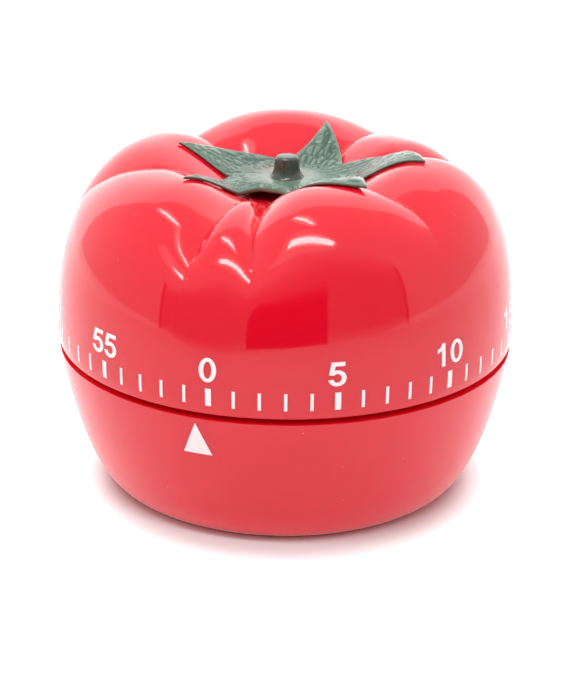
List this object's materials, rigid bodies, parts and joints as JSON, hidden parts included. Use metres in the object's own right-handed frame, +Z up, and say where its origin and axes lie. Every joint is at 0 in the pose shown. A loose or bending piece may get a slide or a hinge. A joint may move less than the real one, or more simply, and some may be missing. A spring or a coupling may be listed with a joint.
{
  "type": "kitchen timer",
  "caption": "Clockwork kitchen timer shaped like a tomato: a lobed upper shell with leaves and stem turns as the dial over a plain bowl that holds the movement and its bell.",
  "frame": {"origin": "centre of the foot ring on the resting plane, on the dial's axis", "axes": "+Z up along the dial's axis, -Y towards the pointer on the lower shell"},
  "size_m": [0.0685, 0.0686, 0.0519],
  "materials": {
    "red_dial": "high gloss",
    "red_case": "gloss",
    "leaf_green": "gloss, embossed veins",
    "plate_steel": "rolled sheet",
    "bright_steel": "turned and polished",
    "spring_steel": "blued",
    "bell_metal": "nickel plated",
    "brass": "stamped"
  },
  "bodies": {
    "case": {"lower_shell": "red_case", "base_cover": "red_case", "base_screws": "bright_steel", "movement_screws": "bright_steel", "bottom_plate": "plate_steel", "top_plate": "plate_steel", "plate_pillars": "bright_steel", "pillar_nuts": "bright_steel", "stop_pin": "bright_steel", "bell_post": "bright_steel", "bell": "bell_metal", "bell_nut": "bright_steel", "mainspring": "spring_steel", "spring_post": "bright_steel", "trip_post": "plate_steel", "hammer_spring": "spring_steel", "trip_spring": "spring_steel"},
    "dial": {"dial_shell": "red_dial", "calyx": "leaf_green", "dial_screw": "bright_steel", "main_arbor": "bright_steel", "ratchet_wheel": "plate_steel", "alarm_cam": "plate_steel"},
    "main_wheel_group": {"main_wheel": "brass", "click": "plate_steel", "click_rivet": "brass"},
    "second_wheel_group": {"second_arbor": "bright_steel", "second_pinion": "bright_steel", "second_wheel": "brass"},
    "third_wheel_group": {"third_arbor": "bright_steel", "third_pinion": "bright_steel", "third_wheel": "brass"},
    "escape_wheel_group": {"escape_arbor": "bright_steel", "escape_pinion": "bright_steel", "escape_wheel": "brass"},
    "star_wheel_group": {"star_arbor": "bright_steel", "star_pinion": "bright_steel", "star_wheel": "brass"},
    "balance_group": {"balance_staff": "bright_steel", "balance_wheel": "brass", "pallet_fork": "plate_steel", "pallet_pins": "bright_steel"},
    "hammer_group": {"hammer_arbor": "bright_steel", "hammer_arm": "plate_steel", "hammer_head": "brass", "hammer_tail": "plate_steel", "hammer_crank": "plate_steel"},
    "trip_lever_group": {"trip_lever": "plate_steel"}
  },
  "joints": [
    {"name": "dial_turn", "type": "hinge", "parent": "case", "child": "dial", "pos_m": [0, 0, 0.02], "axis": [0, 0, -1], "range_deg": [0, 354]},
    {"name": "main_wheel_turn", "type": "hinge", "parent": "case", "child": "main_wheel_group", "pos_m": [0, 0, 0.02], "axis": [0, 0, -1], "range_deg": [0, 354]},
    {"name": "second_wheel_turn", "type": "hinge", "parent": "case", "child": "second_wheel_group", "pos_m": [0, 0.014, 0.02], "axis": [0, 0, -1], "range_deg": [-2124, 0]},
    {"name": "third_wheel_turn", "type": "hinge", "parent": "case", "child": "third_wheel_group", "pos_m": [-0.00952, 0.00957, 0.02], "axis": [0, 0, -1], "range_deg": [0, 12744]},
    {"name": "escape_wheel_turn", "type": "hinge", "parent": "case", "child": "escape_wheel_group", "pos_m": [-0.01687, 0.00208, 0.02], "axis": [0, 0, -1], "range_deg": [-76464, 0]},
    {"name": "star_wheel_turn", "type": "hinge", "parent": "case", "child": "star_wheel_group", "pos_m": [0.01072, -0.009, 0.02], "axis": [0, 0, -1], "range_deg": [-2124, 0]},
    {"name": "balance_swing", "type": "hinge", "parent": "case", "child": "balance_group", "pos_m": [-0.0165, -0.00552, 0.02], "axis": [0, 0, 1], "range_deg": [-12, 12]},
    {"name": "hammer_swing", "type": "hinge", "parent": "case", "child": "hammer_group", "pos_m": [0.00427, -0.01594, 0.02], "axis": [0, 0, 1], "range_deg": [0, 14]},
    {"name": "trip_lever_drop", "type": "hinge", "parent": "case", "child": "trip_lever_group", "pos_m": [-0.00486, -0.01042, 0.02], "axis": [0, 0, 1], "range_deg": [-8, 0]}
  ],
  "couplings": [
    {"joint": "main_wheel_turn", "follows": "dial_turn", "ratio": 1},
    {"joint": "second_wheel_turn", "follows": "dial_turn", "ratio": -6},
    {"joint": "third_wheel_turn", "follows": "dial_turn", "ratio": 36},
    {"joint": "escape_wheel_turn", "follows": "dial_turn", "ratio": -216},
    {"joint": "star_wheel_turn", "follows": "dial_turn", "ratio": -6}
  ]
}
